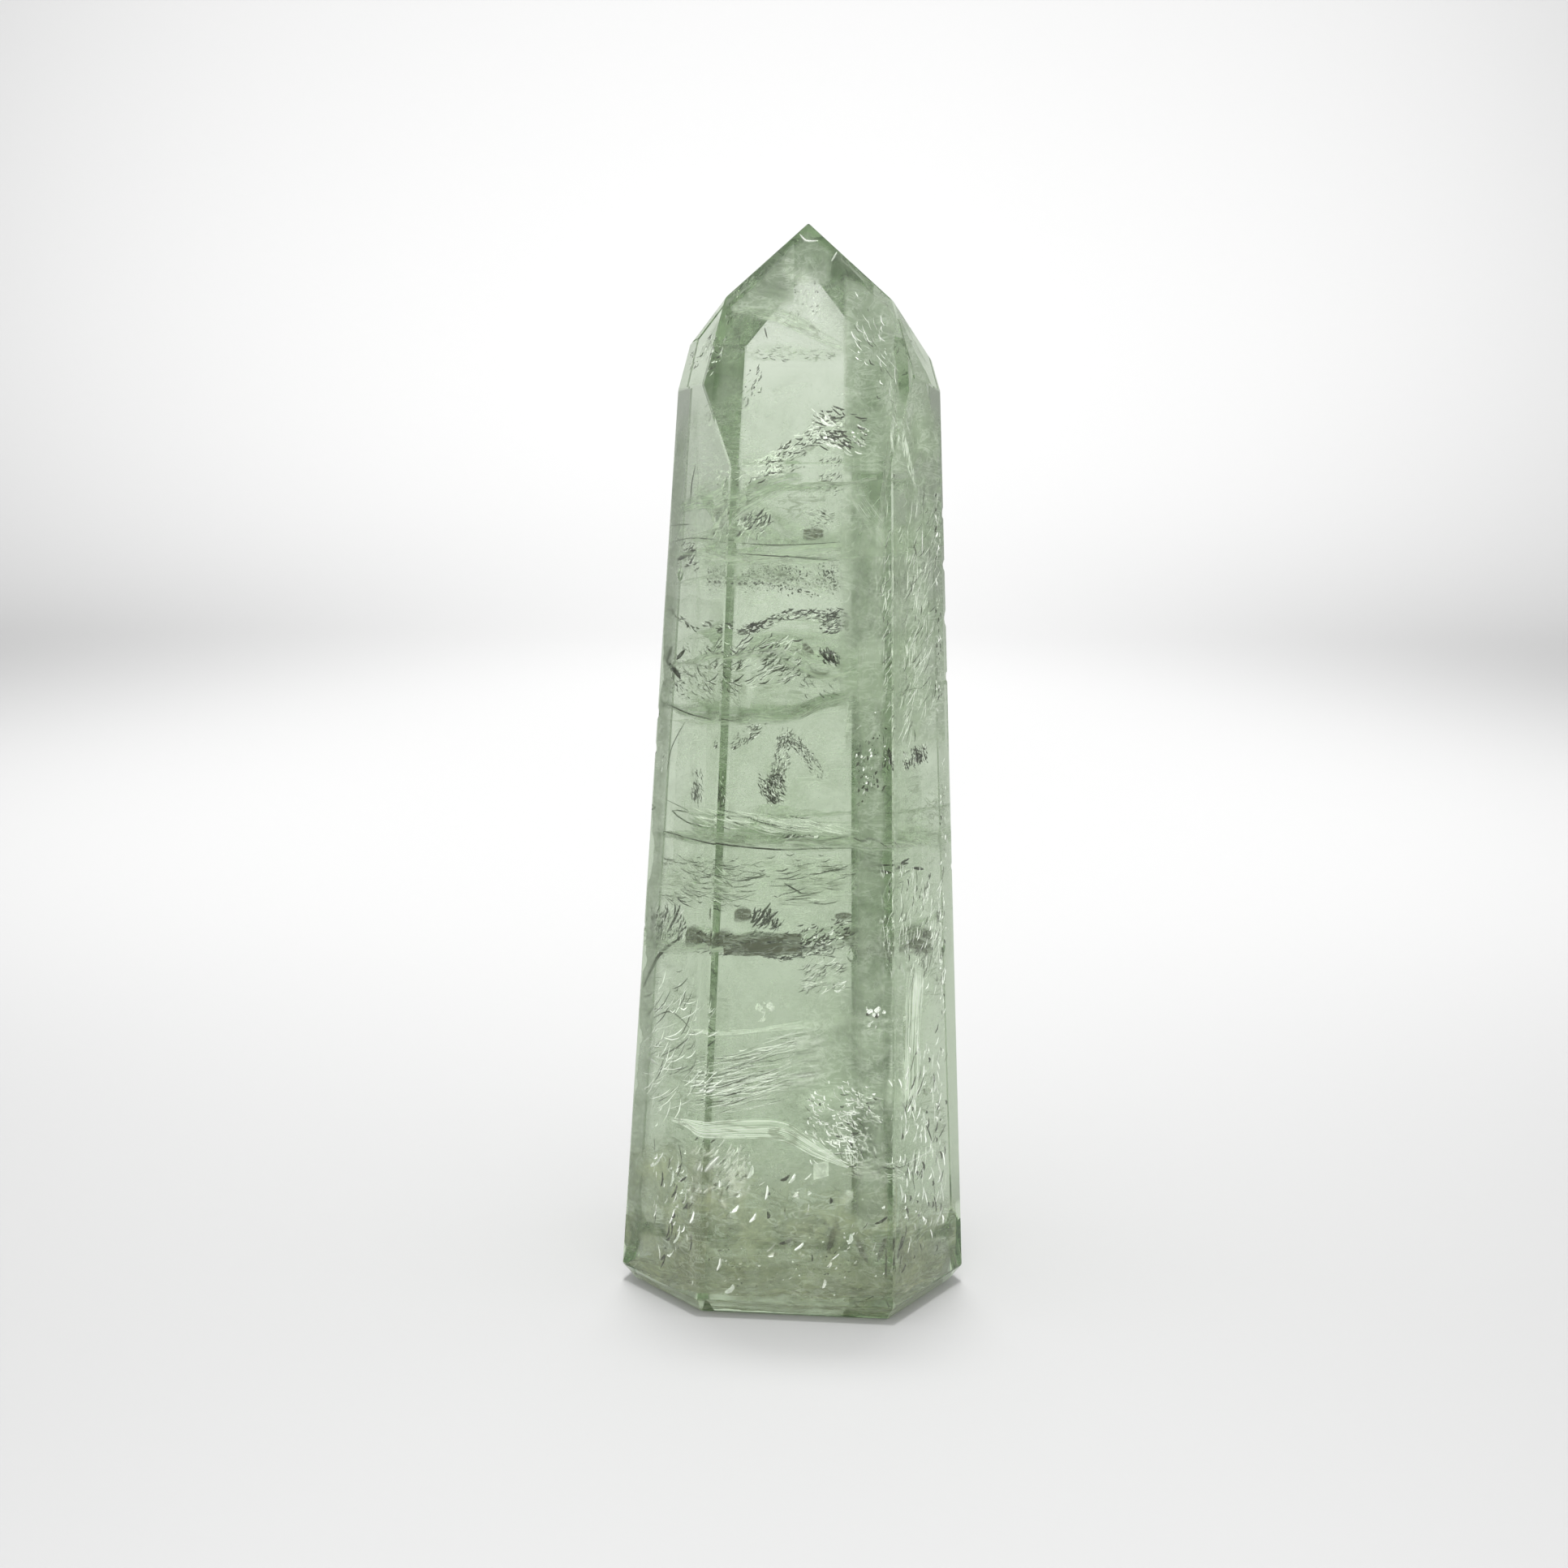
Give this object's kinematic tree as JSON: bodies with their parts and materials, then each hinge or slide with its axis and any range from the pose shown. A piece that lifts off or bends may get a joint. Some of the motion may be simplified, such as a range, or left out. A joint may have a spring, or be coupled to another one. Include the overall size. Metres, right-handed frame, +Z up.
{
  "type": "prasiolite crystal point",
  "caption": "Polished pale green quartz point: a tapering faceted column on a flat base, ending in a faceted tip, to stand on a shelf as a display stone.",
  "frame": {"origin": "middle of the footprint's box on the underside of the flat base", "axes": "+Z up along the column towards the tip, -Y towards the wide front face, +X to its right"},
  "size_m": [0.0252, 0.0226, 0.0761],
  "materials": {
    "green_quartz": "polished, clear pale green, with veils and healed cracks inside"
  },
  "bodies": {
    "root": {"prasiolite_point": "green_quartz"}
  },
  "joints": []
}
